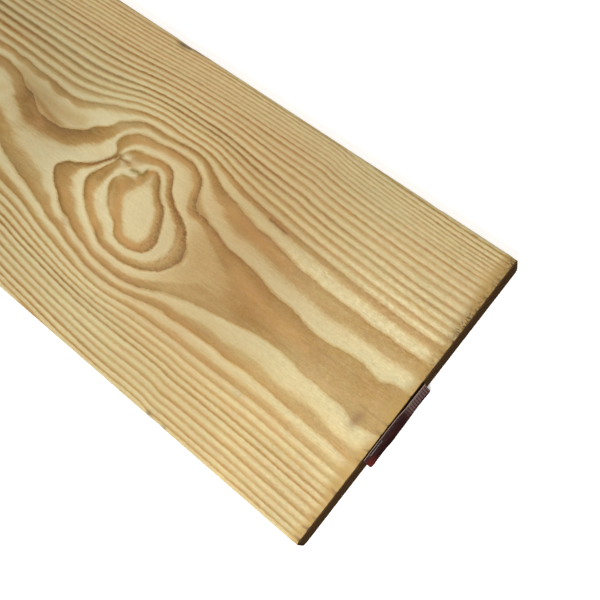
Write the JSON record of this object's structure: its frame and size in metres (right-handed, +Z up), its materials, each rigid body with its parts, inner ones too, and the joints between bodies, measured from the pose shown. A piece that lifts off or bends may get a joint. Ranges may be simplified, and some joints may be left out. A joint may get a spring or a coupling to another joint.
{
  "type": "timber board",
  "caption": "Flat-sawn softwood board with eased long edges and square-sawn ends, one end carrying a small stapled plastic tag.",
  "frame": {"origin": "centre of the board's underside", "axes": "+X along the board towards the end that carries the tag, +Y across the width, +Z up through the thickness"},
  "size_m": [2.4417, 0.1842, 0.0191],
  "materials": {
    "treated_pine": "planed, dry, matt, with wide earlywood and latewood bands",
    "tag_plastic": "thin dark red film, slightly glossy",
    "staple_steel": "galvanised flat wire"
  },
  "bodies": {
    "root": {"plank": "treated_pine", "end_tag": "tag_plastic", "staple_left": "staple_steel", "staple_right": "staple_steel"}
  },
  "joints": []
}
